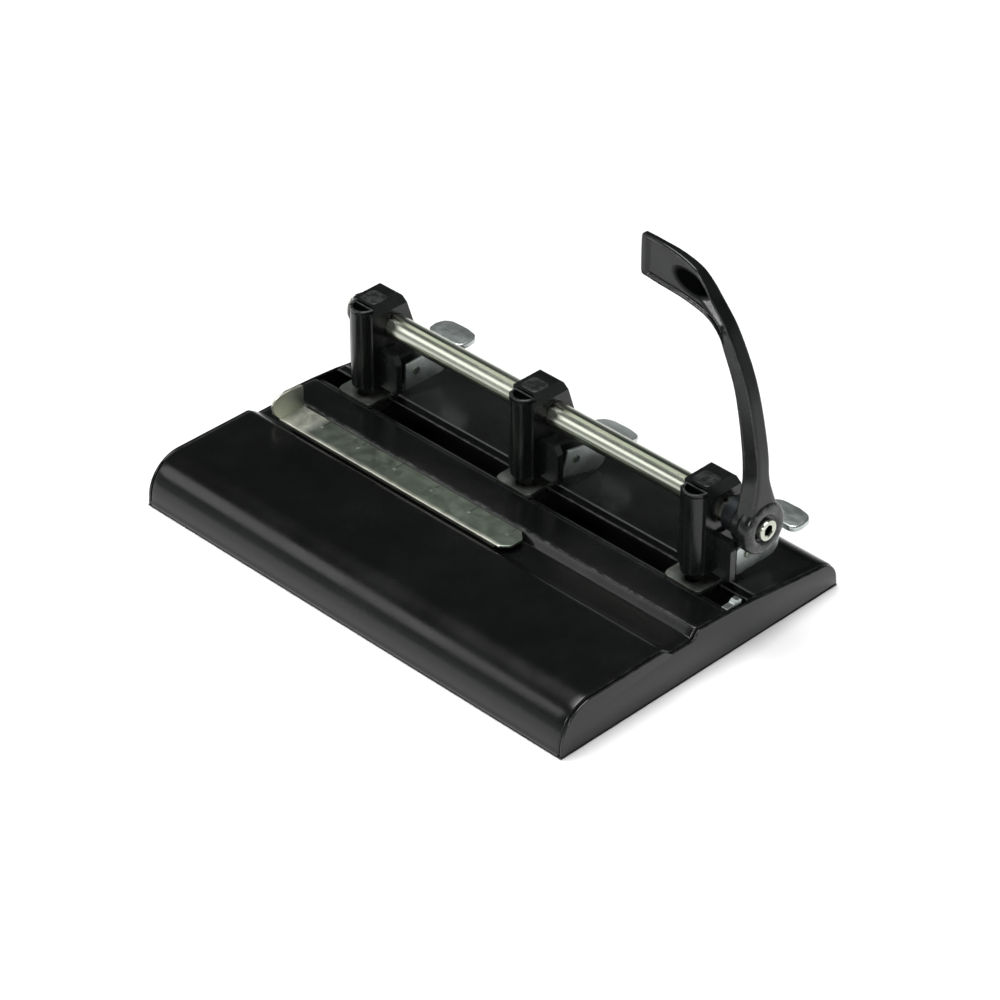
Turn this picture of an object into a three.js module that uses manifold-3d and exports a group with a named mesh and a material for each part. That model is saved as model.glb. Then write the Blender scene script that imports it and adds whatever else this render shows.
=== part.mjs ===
// Adjustable three-hole lever punch: pressed steel base, sliding paper guide, three punch heads
// on one keyed shaft, and a cast hand lever at the right end. Millimetres, +Z up, +X towards the
// lever, +Y away from the person who uses it. The origin is the middle of the flat underside.
import * as THREE from "three";
import { mergeVertices } from "three/addons/utils/BufferGeometryUtils.js";
import Module from "manifold-3d";

const wasm = await Module();
wasm.setup();

// ---- driving dimensions ----
const BASE_W = 274; // base, side to side
const BASE_D = 183; // base, front to back
const SHEET = 1.2; // pressed steel sheet
const END = 1.5; // end plates
const GAP = 0.3; // play between neighbours
const HEAD_X = [-108, 0, 108]; // head positions along the shaft: standard 108 mm spacing
const PIN_Y = 115.4; // punch axis, from the base's front edge
const PIN_R = 3.57; // 9/32 in punch
const SHAFT_Y = 128;
const SHAFT_Z = 60;
const SHAFT_R = 6.35;
const KEY_DEG = 110; // keyway, turned up from +Y
const PITCH_R = 10; // pinion pitch radius
const TEETH = 16;
const PIN_REST_Z = 30.2; // lowest point of a punch with the lever up
const DIE_TOP = 24.2;
const THROAT_TOP = 29.6;
const HEAD_TOP = 74.5;
const LOCK_TILT = [0, -14, 0]; // rest angle of each lock lever, degrees
const LOCK_Y = 138;
const LOCK_Z = 32;

// ---- solid helpers ----
// A three.js geometry as a manifold solid.
function solid(geometry) {
  const g = geometry.clone();
  g.deleteAttribute("normal");
  g.deleteAttribute("uv");
  const m = mergeVertices(g, 1e-4);
  const mesh = new wasm.Mesh({
    numProp: 3,
    vertProperties: m.attributes.position.array,
    triVerts: new Uint32Array(m.index.array),
  });
  return new wasm.Manifold(mesh);
}

// The reverse: a manifold solid as a flat-shaded three.js geometry.
function geometryOf(s) {
  const m = s.getMesh();
  const v = new Float32Array(m.numVert * 3);
  for (let i = 0; i < m.numVert; i++) {
    v.set(m.vertProperties.subarray(i * m.numProp, i * m.numProp + 3), i * 3);
  }
  const g = new THREE.BufferGeometry();
  g.setAttribute("position", new THREE.BufferAttribute(v, 3));
  g.setIndex(new THREE.BufferAttribute(new Uint32Array(m.triVerts), 1));
  return g;
}

const box = (x0, x1, y0, y1, z0, z1) => {
  const g = new THREE.BoxGeometry(x1 - x0, y1 - y0, z1 - z0);
  g.translate((x0 + x1) / 2, (y0 + y1) / 2, (z0 + z1) / 2);
  return solid(g);
};

// Round bar along X, from x0 to x1, its axis at (y, z).
const barX = (r, x0, x1, y, z, n = 40) => {
  const g = new THREE.CylinderGeometry(r, r, x1 - x0, n);
  g.rotateZ(Math.PI / 2);
  g.translate((x0 + x1) / 2, y, z);
  return solid(g);
};

// Upright round bar, from z0 to z1, its axis at (x, y).
const barZ = (r, z0, z1, x, y, n = 40) => {
  const g = new THREE.CylinderGeometry(r, r, z1 - z0, n);
  g.rotateX(Math.PI / 2);
  g.translate(x, y, (z0 + z1) / 2);
  return solid(g);
};

// A closed outline of [y, z] points, drawn out along X.
const prismX = (outline, x0, x1) => {
  const shape = new THREE.Shape(outline.map(([y, z]) => new THREE.Vector2(y, z)));
  const g = new THREE.ExtrudeGeometry(shape, { depth: x1 - x0, bevelEnabled: false });
  const turn = new THREE.Matrix4().set(0, 0, 1, x0, 1, 0, 0, 0, 0, 1, 0, 0, 0, 0, 0, 1);
  g.applyMatrix4(turn);
  return solid(g);
};

// A closed outline of [x, z] points, drawn out along Y.
const prismY = (outline, y0, y1) => {
  const shape = new THREE.Shape(outline.map(([x, z]) => new THREE.Vector2(x, z)));
  const g = new THREE.ExtrudeGeometry(shape, { depth: y1 - y0, bevelEnabled: false });
  const turn = new THREE.Matrix4().set(1, 0, 0, 0, 0, 0, -1, y1, 0, 1, 0, 0, 0, 0, 0, 1);
  g.applyMatrix4(turn);
  return solid(g);
};

// A closed outline of [x, y] points, drawn out along Z.
const prismZ = (outline, z0, z1) => {
  const shape = new THREE.Shape(outline.map(([x, y]) => new THREE.Vector2(x, y)));
  const g = new THREE.ExtrudeGeometry(shape, { depth: z1 - z0, bevelEnabled: false });
  g.translate(0, 0, z0);
  return solid(g);
};

const hull = (...parts) => wasm.Manifold.hull(parts);
const at = (s, x, y = 0, z = 0) => s.translate([x, y, z]);

// Points of an arc, centre (cy, cz), from angle a to angle b in degrees.
function arc(cy, cz, r, a, b, n = 8) {
  const out = [];
  for (let i = 0; i <= n; i++) {
    const t = ((a + ((b - a) * i) / n) * Math.PI) / 180;
    out.push([cy + r * Math.cos(t), cz + r * Math.sin(t)]);
  }
  return out;
}

// A bent sheet: the open line's points, thickened to the right of its direction of travel.
function strip(line, t) {
  const inner = line.map((p, i) => {
    const a = line[Math.max(0, i - 1)];
    const b = line[Math.min(line.length - 1, i + 1)];
    const u = unit(p, a === p ? b : a, a === p ? 1 : -1);
    const v = unit(p, b === p ? a : b, b === p ? -1 : 1);
    const n1 = [u[1], -u[0]];
    const n2 = [v[1], -v[0]];
    const k = t / (1 + n1[0] * n2[0] + n1[1] * n2[1]);
    return [p[0] + (n1[0] + n2[0]) * k, p[1] + (n1[1] + n2[1]) * k];
  });
  return [...line, ...inner.reverse()];
}

function unit(p, q, sign) {
  const d = [q[0] - p[0], q[1] - p[1]];
  const l = Math.hypot(d[0], d[1]) / sign;
  return [d[0] / l, d[1] / l];
}

// ---- the assembly ----
const punch = new THREE.Group();
punch.name = "three_hole_punch";
punch.position.y = -BASE_D / 2; // shapes below are drawn from the base's front edge

const FINISH = {
  black_enamel: [0x14161a, 0.3, 0.2],
  black_cast: [0x1a1c1e, 0.5, 0.3],
  rubber: [0x111111, 0.9, 0],
  zinc: [0xa3aaa2, 0.45, 0.9],
  steel: [0xc8ccc8, 0.25, 1],
  spring_steel: [0x8b8e90, 0.35, 1],
  black_oxide: [0x26282a, 0.45, 0.8],
  nylon: [0x1c1d20, 0.6, 0],
};

function add(name, s, finish) {
  const [color, roughness, metalness] = FINISH[finish];
  const material = new THREE.MeshStandardMaterial({ color, roughness, metalness });
  material.name = finish;
  const mesh = new THREE.Mesh(geometryOf(s), material);
  mesh.name = name;
  punch.add(mesh);
}

// ---- base shell ----
const HALF = BASE_W / 2;
const COVER_X = HALF - END - GAP; // the two top sheets end here
const SKIRT = 0.9; // lower edge of the sheets
const coverLine = [
  [0, SKIRT],
  ...arc(20, 4.5, 20, 180, 90, 12),
  [65.3, 24.5],
  [71, 20.4],
  [84.4, 20.4],
  [87.5, 24.4],
  [107.5, 23.2],
  [107.7, 21.5],
  [111, 21.5],
];
const rearLine = [
  [122, 22],
  [126.5, 22],
  [128.5, 21.3],
  [170, 16],
  ...arc(171, 4, 12, 90, 0, 8),
  [183, SKIRT],
];
const SLOT_Y = [77, 80.6]; // slots in the valley floor, for the guide's clips
const CLIP_X = [-95, -10];
const GUIDE_TRAVEL = [-12, 20];
let cover = prismX(strip(coverLine, SHEET), -COVER_X, COVER_X);
for (const x of CLIP_X) {
  const left = x + GUIDE_TRAVEL[0] - 3;
  const right = x + GUIDE_TRAVEL[1] + 3;
  cover = cover.subtract(box(left, right, ...SLOT_Y, 15, 23));
}
add("front_cover", cover, "black_enamel");
add("rear_deck", prismX(strip(rearLine, SHEET), -COVER_X, COVER_X), "black_enamel");

// Ends: flat plates that follow the sheets' outline and close the chip slot.
const endLine = [
  [0.5, SKIRT],
  ...arc(20, 4.5, 19.4, 180, 90, 12),
  [65.1, 23.9],
  [70.7, 19.8],
  [84.8, 19.8],
  [87.8, 23.8],
  [107.5, 22.9],
  [123, 21.6],
  [128.4, 20.8],
  [169.8, 15.4],
  ...arc(170.9, 4, 11.5, 90, 0, 8),
  [182.4, SKIRT],
];
const endPlate = prismX(endLine, 0, END);
add("end_plate_left", at(endPlate, -HALF), "black_enamel");
add("end_plate_right", at(endPlate, HALF - END), "black_enamel");

// Stop at the right end of the front rail.
const stopSide = [
  [108.4, 21.8],
  [118.4, 21.8],
  [118.4, 24.2],
  [117.4, 25.2],
  [114.8, 25.2],
  [113.4, 23.6],
  [108.4, 23.6],
];
add("rail_stop", prismX(stopSide, 131.5, 134.9), "zinc");

// Tray: a full-size moulded rubber pan under everything, which catches the chips.
const PAN = { x: HALF - 2.4, y0: 2, y1: BASE_D - 3.4, floor: 2, wall: 1.6, top: 8.5 };
let pan = box(-PAN.x, PAN.x, PAN.y0, PAN.y1, 0, PAN.top);
const inside = [-PAN.x + PAN.wall, PAN.x - PAN.wall, PAN.y0 + PAN.wall, PAN.y1 - PAN.wall];
pan = pan.subtract(box(...inside, PAN.floor, 20));
pan = pan.add(box(-HALF + 0.1, HALF - 0.1, 0.2, BASE_D - 0.2, 0, 0.6));
for (const x of [-66, -22, 22, 66]) {
  pan = pan.add(box(x - 0.9, x + 0.9, 12, 100, PAN.floor - 0.5, 4.5)); // stiffening ribs
}
add("chip_tray", pan, "rubber");

// ---- paper guide ----
const GUIDE = { x0: -120.5, x1: 33, y0: 69.8, y1: 85.6, top: 24.4, t: 1.2 };
const guideTop = [
  [GUIDE.x0, GUIDE.y0],
  [GUIDE.x1 - 5, GUIDE.y0],
  [GUIDE.x1 - 0.8, GUIDE.y0 + 3.6],
  [GUIDE.x1, GUIDE.y0 + 6],
  [GUIDE.x1, GUIDE.y1 - 5],
  [GUIDE.x1 - 1.2, GUIDE.y1 - 3],
  [GUIDE.x1 - 5, GUIDE.y1],
  [GUIDE.x0, GUIDE.y1],
];
let guide = prismZ(guideTop, GUIDE.top - GUIDE.t, GUIDE.top);
guide = guide.add(box(GUIDE.x0, GUIDE.x1 - 6, GUIDE.y0, GUIDE.y0 + 1.1, 21.9, GUIDE.top - 0.1));
const stopFlange = [
  [GUIDE.y0, 21.9],
  [GUIDE.y0, 24.4],
  [65.8, 28.7],
  [65.4, 34],
  [67.2, 36.2],
  [70.5, 37.3],
  [77, 37.6],
  [84.6, 36.9],
  [85.6, 35.6],
  [GUIDE.y1, 23.2],
];
guide = guide.add(prismX(stopFlange, GUIDE.x0, GUIDE.x0 + 1.2));
add("paper_guide", guide, "zinc");
CLIP_X.forEach((x, i) => {
  const stem = box(x - 2.5, x + 2.5, SLOT_Y[0] + 0.4, SLOT_Y[1] - 0.4, 18, 22.9);
  const foot = box(x - 4, x + 4, 74.4, 83.2, 16.9, 18.8);
  add("guide_clip_" + (i ? "right" : "left"), stem.add(foot), "nylon");
});

// ---- shaft and hand lever ----
const LEVER_X = [126.6, 139.6]; // hub
const BORE_R = SHAFT_R + GAP;
const keyTurn = (s) => {
  const p = s.translate([0, -SHAFT_Y, -SHAFT_Z]).rotate([KEY_DEG - 90, 0, 0]);
  return p.translate([0, SHAFT_Y, SHAFT_Z]);
};
const keyBar = (w, z0, z1, x0, x1) => {
  const bar = box(x0, x1, SHAFT_Y - w / 2, SHAFT_Y + w / 2, SHAFT_Z + z0, SHAFT_Z + z1);
  return keyTurn(bar);
};
let shaft = barX(SHAFT_R, -127.2, 133.2, SHAFT_Y, SHAFT_Z, 48);
shaft = shaft.subtract(keyBar(2.4, SHAFT_R - 1.7, SHAFT_R + 1, -140, 140));
const ringGroove = barX(8, -125.3, -123.7, SHAFT_Y, SHAFT_Z, 48).subtract(
  barX(5.2, -126, -123, SHAFT_Y, SHAFT_Z, 48),
);
shaft = shaft.subtract(ringGroove).subtract(barX(2.3, 120, 140, SHAFT_Y, SHAFT_Z, 24));
add("shaft", shaft, "steel");
let ring = barX(7.7, -125, -124, SHAFT_Y, SHAFT_Z, 40);
ring = ring.subtract(barX(5.5, -127, -122, SHAFT_Y, SHAFT_Z, 40));
ring = ring.subtract(box(-127, -122, SHAFT_Y - 1.6, SHAFT_Y + 1.6, SHAFT_Z - 9, SHAFT_Z - 3));
add("retaining_ring", ring, "spring_steel");

// The arm rises beside the right head and bends in over the heads to an upright blade grip.
const leverOutline = [
  [127.2, 64],
  [138.6, 64],
  [137.9, 82.2],
  [136.9, 97.4],
  [133.6, 114.1],
  [129.6, 128.5],
  [124.4, 141.2],
  [116, 155.9],
  [107.8, 165.6],
  [103, 172],
  [98.8, 176.6],
  [95, 179.2],
  [88, 181.7],
  [80.6, 183.1],
  [72.9, 183.8],
  [66.4, 184],
  [64.4, 183.2],
  [63.6, 181],
  [63.6, 169],
  [64.3, 164.6],
  [66.2, 162.4],
  [76, 161.8],
  [87.1, 160.6],
  [97, 158.8],
  [103.9, 156.6],
  [108.8, 153],
  [111.6, 149.4],
  [113.9, 144.2],
  [120.1, 129.6],
  [123.9, 113.8],
  [126.6, 96.7],
  [127.8, 86],
];
let lever = barX(13, ...LEVER_X, SHAFT_Y, SHAFT_Z, 48);
lever = lever.add(prismY(leverOutline, SHAFT_Y - 5, SHAFT_Y + 3));
const neck = box(127.6, 138, SHAFT_Y - 4.6, SHAFT_Y + 2.6, 80, 82);
lever = lever.add(hull(neck, barX(10.4, 127.2, 138.8, SHAFT_Y, SHAFT_Z, 48)));
const recess = [
  [67, 180.8],
  [80, 180.4],
  [90, 178.2],
  [97.5, 173.5],
  [102.5, 166.8],
  [105, 161.6],
  [97, 162.6],
  [84, 165],
  [67, 166.2],
];
lever = lever.subtract(prismY(recess, SHAFT_Y - 7, SHAFT_Y - 3.4));
// The grip thins from the arm's 8 mm to a 4 mm blade.
const bladeBack = [
  [55, SHAFT_Y - 1],
  [76, SHAFT_Y - 1],
  [108, SHAFT_Y + 3],
  [108, SHAFT_Y + 9],
  [55, SHAFT_Y + 9],
];
lever = lever.subtract(prismZ(bladeBack, 150, 190));
lever = lever.subtract(barX(BORE_R, 120, 133.8, SHAFT_Y, SHAFT_Z, 48));
lever = lever.subtract(barX(2.9, 120, 150, SHAFT_Y, SHAFT_Z, 24));
lever = lever.subtract(barX(6.4, 137.6, 150, SHAFT_Y, SHAFT_Z, 32));
lever = lever.add(keyBar(1.7, SHAFT_R - 1.2, SHAFT_R + 1, 127, 133.4));
add("hand_lever", lever, "black_cast");

// Socket screw that clamps the lever on the shaft's end.
let screw = barX(6, 137.9, 140.9, SHAFT_Y, SHAFT_Z, 32);
screw = screw.subtract(barX(2.9, 138.9, 142, SHAFT_Y, SHAFT_Z, 6));
screw = screw.add(barX(2, 122, 138.4, SHAFT_Y, SHAFT_Z, 24));
add("hub_screw", screw, "steel");
let spacer = barX(8.6, 119.1, 126.2, SHAFT_Y, SHAFT_Z, 40);
spacer = spacer.subtract(barX(BORE_R, 110, 130, SHAFT_Y, SHAFT_Z, 40));
add("hub_spacer", spacer, "black_oxide");

// ---- parts of one punch head, drawn for a head at x = 0 ----
const bodySide = [
  [123.2, 24.6],
  [145.4, 24.6],
  [145.4, 34],
  [143.6, 46],
  [140.9, 56.8],
  [135.6, 73.2],
  [134, HEAD_TOP],
  [116, HEAD_TOP],
  [113.6, 72.4],
  [113.6, THROAT_TOP],
  [123.2, THROAT_TOP],
];
const CHAMBER_R = 12;
function headBody() {
  let s = prismX(bodySide, -8, 8);
  s = s.add(barZ(6.45, THROAT_TOP, 71.6, 0, PIN_Y, 40));
  // Wide foot block under the shaft: flared on the left, level-topped on the right.
  const wide = [
    [-13, THROAT_TOP],
    [19.4, THROAT_TOP],
    [19.4, 46],
    [17, 50.4],
    [-8, 50.4],
    [-10, 42],
    [-13, 35],
  ];
  s = s.add(prismY(wide, 118.2, 121.8));
  s = s.add(prismY(wide, 121.6, 127).intersect(box(-20, 9.8, 100, 140, 20, 60)));
  s = s.add(box(-13, 9.8, 123.2, 128.6, 24.6, THROAT_TOP + 0.1));
  // Chamfered cheek beside the shaft on the right.
  s = s.subtract(
    prismY([[4.5, HEAD_TOP + 1], [9, HEAD_TOP + 1], [9, 68]], 112, 146),
  );
  s = s.subtract(barX(BORE_R, -20, 20, SHAFT_Y, SHAFT_Z));
  s = s.subtract(barX(BORE_R + 0.6, 8, 21, SHAFT_Y, SHAFT_Z));
  s = s.subtract(barX(CHAMBER_R, -4.4, 4.4, SHAFT_Y, SHAFT_Z, 48));
  s = s.subtract(box(-4.4, 4.4, SHAFT_Y, 150, 50, 70)); // rear window for the pinion
  s = s.subtract(barZ(PIN_R + GAP, 20, 74, 0, PIN_Y));
  s = s.subtract(barZ(5.15, 31.6, 73, 0, PIN_Y)); // spring pocket
  s = s.subtract(prismZ([[-9, 100], [9, 100], [9, 116.4], [-9, 116.4]], 71.6, 80));
  s = s.subtract(barX(2.3, -20, 20, LOCK_Y, LOCK_Z, 24));
  return s;
}

// Cap over the punch guide: a shallow dish with a raised rim.
function guideCap() {
  const dish = barZ(6.45, 71.9, 73.6, 0, PIN_Y, 40).subtract(barZ(5, 72.9, 80, 0, PIN_Y, 40));
  const s = dish.subtract(box(-9, 9, 116.1, 130, 60, 90));
  return s.subtract(barZ(PIN_R + 0.4, 60, 72.3, 0, PIN_Y));
}

function diePlate() {
  const plate = [
    [-9, 108],
    [8.5, 108],
    [10, 109.5],
    [10, 135.5],
    [-12.5, 135.5],
    [-12.5, 111.5],
    [-11.5, 109],
  ];
  let s = prismZ(plate, 22.3, DIE_TOP);
  s = s.add(box(-10, 9, 111.4, 121.6, 18.4, 22.4));
  s = s.add(box(-10, 9, 108.8, 124.2, 16.6, 18.8));
  s = s.subtract(barZ(PIN_R + GAP, 10, 30, 0, PIN_Y, 40));
  return s.subtract(barZ(5, 10, 20.5, 0, PIN_Y, 40));
}

const PITCH = (2 * Math.PI * PITCH_R) / TEETH;
function punchPin() {
  let s = barZ(PIN_R, PIN_REST_Z, 72, 0, PIN_Y, 40);
  s = s.subtract(prismX([[111, 30], [115.4, 31.2], [120, 30], [120, 29], [111, 29]], -5, 5));
  // Rack: tooth spaces on the side that faces the shaft, 20 degree flanks.
  const tip = PIN_Y + PIN_R + 0.2;
  const pitchY = SHAFT_Y - PITCH_R;
  const root = pitchY - 1.45;
  for (let k = -1; k <= 3; k++) {
    const z = SHAFT_Z + k * PITCH;
    const half = (y) => PITCH / 2 - 0.76 + (y - pitchY) * Math.tan(Math.PI / 9);
    const space = [
      [root, z - half(root)],
      [tip, z - half(tip)],
      [tip, z + half(tip)],
      [root, z + half(root)],
    ];
    s = s.subtract(prismX(space, -5, 5));
  }
  const groove = barZ(6, 49.6, 51, 0, PIN_Y).subtract(barZ(2.7, 49, 52, 0, PIN_Y));
  return s.subtract(groove);
}

function pinClip() {
  const disc = barZ(4.85, 49.9, 50.7, 0, PIN_Y, 32).subtract(barZ(3, 49, 52, 0, PIN_Y, 32));
  return disc.subtract(box(-1.8, 1.8, PIN_Y + 2.4, 130, 49, 52));
}

// Compression spring: round wire wound about an upright line.
function coil(r, wire, z0, z1, turns, sides, perTurn) {
  const n = Math.round(turns * perTurn);
  const pos = [];
  const idx = [];
  for (let i = 0; i <= n; i++) {
    const a = (i / perTurn) * 2 * Math.PI;
    const z = z0 + wire + ((z1 - z0 - 2 * wire) * i) / n;
    for (let j = 0; j < sides; j++) {
      const b = (j / sides) * 2 * Math.PI;
      const rr = r + wire * Math.cos(b);
      pos.push(rr * Math.cos(a), rr * Math.sin(a), z + wire * Math.sin(b));
    }
  }
  for (let i = 0; i < n; i++) {
    for (let j = 0; j < sides; j++) {
      const k = (j + 1) % sides;
      const p = i * sides;
      const q = p + sides;
      idx.push(p + j, q + j, q + k, p + j, q + k, p + k);
    }
  }
  for (let j = 1; j + 1 < sides; j++) {
    idx.push(0, j, j + 1);
    const e = n * sides;
    idx.push(e, e + j + 1, e + j);
  }
  const g = new THREE.BufferGeometry();
  g.setAttribute("position", new THREE.BufferAttribute(new Float32Array(pos), 3));
  g.setIndex(idx);
  const s = solid(g);
  return s.volume() > 0 ? s : solid(g.setIndex(flip(idx)));
}

function flip(idx) {
  const out = [];
  for (let i = 0; i < idx.length; i += 3) {
    out.push(idx[i], idx[i + 2], idx[i + 1]);
  }
  return out;
}

// Pinion: a hub keyed to the shaft, with involute teeth only where the rack needs them.
function pinion() {
  const base = PITCH_R * Math.cos(Math.PI / 9);
  const tip = PITCH_R + 1.0;
  const root = PITCH_R - 1.45;
  const inv = (r) => {
    const t = Math.sqrt(Math.max(0, (r / base) ** 2 - 1));
    return t - Math.atan(t);
  };
  const halfAtPitch = 0.76 / PITCH_R;
  let s = barX(root, -4, 4, SHAFT_Y, SHAFT_Z, 48);
  for (let k = -1; k <= 3; k++) {
    const mid = Math.PI - (k * 2 * Math.PI) / TEETH;
    const side = (sgn) => {
      const radii = [root - 0.6, base, PITCH_R - 0.2, PITCH_R + 0.4, tip];
      return radii.map((r) => {
        const half = halfAtPitch + inv(PITCH_R) - inv(r);
        const a = mid + sgn * half;
        return [SHAFT_Y + r * Math.cos(a), SHAFT_Z + r * Math.sin(a)];
      });
    };
    s = s.add(prismX([...side(-1), ...side(1).reverse()], -4, 4));
  }
  s = s.subtract(barX(BORE_R, -5, 5, SHAFT_Y, SHAFT_Z, 40));
  return s.add(keyBar(1.7, SHAFT_R - 1.2, SHAFT_R + 1, -4, 4));
}

// Lock lever: side plate beside the head, and a thumb tab bent across behind it.
function lockLever(tilt) {
  const plate = [
    [131, 23],
    [156, 23],
    [159.4, 26],
    [161, 38],
    [160, 41],
    [156, 40.4],
    [148, 37.4],
    [131, 37.4],
  ];
  let s = prismX(plate, 10.6, 12.1);
  const padOutline = [
    [-1, 164],
    [-0.4, 159.4],
    [2, 157.2],
    [20, 156.8],
    [23, 158.6],
    [23.6, 163],
    [23, 167.6],
    [20.4, 170.4],
    [14, 171.6],
    [4, 171.2],
    [0.4, 168.6],
  ];
  s = s.add(prismZ(padOutline, 38.6, 41.8));
  s = s.subtract(barX(2.3, 0, 20, LOCK_Y, LOCK_Z, 24));
  return s.translate([0, -LOCK_Y, -LOCK_Z]).rotate([tilt, 0, 0]).translate([0, LOCK_Y, LOCK_Z]);
}

function lockPivot() {
  const pin = barX(2, -9.6, 12.9, LOCK_Y, LOCK_Z, 24);
  return pin.add(barX(3.2, -9.8, -8.4, LOCK_Y, LOCK_Z, 24));
}

["left", "middle", "right"].forEach((side, i) => {
  const x = HEAD_X[i];
  add("head_" + side, at(headBody(), x), "black_cast");
  add("guide_cap_" + side, at(guideCap(), x), "black_cast");
  add("die_plate_" + side, at(diePlate(), x), "zinc");
  add("punch_pin_" + side, at(punchPin(), x), "steel");
  add("pin_clip_" + side, at(pinClip(), x), "spring_steel");
  add("return_spring_" + side, at(coil(4.35, 0.38, 31.9, 49.6, 6, 6, 14), x, PIN_Y), "spring_steel");
  add("pinion_" + side, at(pinion(), x), "black_oxide");
  add("lock_lever_" + side, at(lockLever(LOCK_TILT[i]), x), "zinc");
  add("lock_pivot_" + side, at(lockPivot(), x), "steel");
});

export default punch;
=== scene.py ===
# %% [markdown]
# # A three-hole lever punch, dressed for its portrait
#
# The working model of the punch is already packed: every part has its size, its place and the
# body it moves with. This lesson puts the real surfaces on it. First we load that frame and
# note how big it is, because nothing we make may grow beyond it.

# %% Load the frame
import math

import bmesh
import bpy
import numpy as np
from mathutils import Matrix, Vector


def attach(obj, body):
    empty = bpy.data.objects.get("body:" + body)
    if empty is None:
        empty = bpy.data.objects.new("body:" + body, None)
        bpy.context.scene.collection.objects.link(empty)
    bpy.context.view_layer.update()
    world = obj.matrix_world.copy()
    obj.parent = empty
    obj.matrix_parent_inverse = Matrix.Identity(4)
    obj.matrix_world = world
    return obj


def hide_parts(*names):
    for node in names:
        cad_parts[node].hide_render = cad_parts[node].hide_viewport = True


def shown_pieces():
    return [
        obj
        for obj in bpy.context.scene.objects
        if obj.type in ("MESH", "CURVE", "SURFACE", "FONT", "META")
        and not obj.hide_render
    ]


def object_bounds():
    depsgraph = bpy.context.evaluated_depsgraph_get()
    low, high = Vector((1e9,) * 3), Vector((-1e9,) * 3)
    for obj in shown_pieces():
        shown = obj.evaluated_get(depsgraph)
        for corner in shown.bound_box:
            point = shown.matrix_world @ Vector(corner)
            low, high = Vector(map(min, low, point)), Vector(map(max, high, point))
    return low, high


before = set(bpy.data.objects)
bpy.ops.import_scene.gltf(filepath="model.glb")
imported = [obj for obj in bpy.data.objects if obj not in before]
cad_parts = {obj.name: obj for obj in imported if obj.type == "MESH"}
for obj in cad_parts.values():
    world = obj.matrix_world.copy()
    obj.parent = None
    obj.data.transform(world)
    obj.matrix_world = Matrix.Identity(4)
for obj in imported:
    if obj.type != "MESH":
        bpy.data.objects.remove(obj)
cad_box = [list(corner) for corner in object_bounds()]
FRONT = cad_box[0][1]  # the base's front edge, metres
HEADS = {"left": -108.0, "middle": 0.0, "right": 108.0}  # head positions along the shaft, mm
print("size, mm:", [round(1000 * (b - a), 1) for a, b in zip(*cad_box)])

# %% [markdown]
# ## Helpers for surfaces
#
# Sheet metal, castings and turned bars look different, but each one is a closed loop of points
# carried along a path. So one helper is enough: it takes a stack of rings, joins each ring to
# the next with four-sided faces, and closes both ends. Another takes an open grid for bent
# sheet. All sizes are in millimetres measured from the base's front edge, and only the last
# step turns them to metres.

# %% From arrays to a mesh
def to_metres(points):
    """Millimetres from the base's front edge, to metres in the frame: divide, then shift y."""
    return np.asarray(points, float) / 1000.0 + np.array([0.0, FRONT, 0.0])


def signed_volume(points, faces):
    """A sixth of the sum of a . (b x c) over the triangles of every face, fanned out."""
    total = 0.0
    for size in {len(f) for f in faces}:
        f = np.array([f for f in faces if len(f) == size])
        for k in range(1, size - 1):
            a, b, c = points[f[:, 0]], points[f[:, k]], points[f[:, k + 1]]
            total += float(np.einsum("ij,ij->i", a, np.cross(b, c)).sum()) / 6.0
    return total


def piece(name, points, faces, body, nodes, slot, wear=None, smooth=38.0, matt=None):
    """Puts points and faces in a new object that rides on body and stands for nodes.
    Its first mask says how much rubbed wear and painted highlight each point carries, its second how much
    painted shade, from 0 to 1; edges sharper than smooth stay crisp."""
    mesh = bpy.data.meshes.new(name)
    mesh.from_pydata(to_metres(points).tolist(), [], [list(map(int, f)) for f in faces])
    mesh.validate()
    for word, amount in (("wear", wear), ("matt", matt)):
        if amount is not None:
            mesh.attributes.new(word, "FLOAT", "POINT").data.foreach_set("value", amount)
    mesh.shade_smooth()
    mesh.set_sharp_from_angle(angle=math.radians(smooth))
    made = bpy.data.objects.new(name, mesh)
    bpy.context.scene.collection.objects.link(made)
    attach(made, body)
    if nodes:
        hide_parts(*nodes)
    print(f"{name}: {len(points)} points, {len(faces)} faces")
    return made


def rings_to_faces(count, around):
    """Quads between neighbouring rings, wrapping round, and one flat face at either end."""
    i, j = np.meshgrid(np.arange(count - 1), np.arange(around), indexing="ij")
    a = i * around + j
    b = i * around + (j + 1) % around
    quads = np.stack([a, b, b + around, a + around], axis=-1).reshape(-1, 4)
    ends = [list(range(around))[::-1], list(range((count - 1) * around, count * around))]
    return quads.tolist() + ends


def loft(rings):
    """A closed solid from rings of shape (rings, points, 3), its faces turned to point out."""
    rings = np.asarray(rings, float)
    points = rings.reshape(-1, 3)
    faces = rings_to_faces(rings.shape[0], rings.shape[1])
    if signed_volume(points, faces) < 0:
        faces = [f[::-1] for f in faces]
    return points, faces


def join(*solids):
    """Several (points, faces) pairs as one pair: each list of faces moves up by what is before."""
    points, faces, count = [], [], 0
    for p, f in solids:
        points.append(p)
        faces += [[k + count for k in face] for face in f]
        count += len(p)
    return np.concatenate(points), faces


# %% [markdown]
# Bent sheet and castings never have a sharp corner, and the radius of a bend tells the eye how
# thick the metal is. Outlines are drawn with their sharp corners first, because those are easy
# to measure, and a fillet helper then puts the right radius on each corner.

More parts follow.
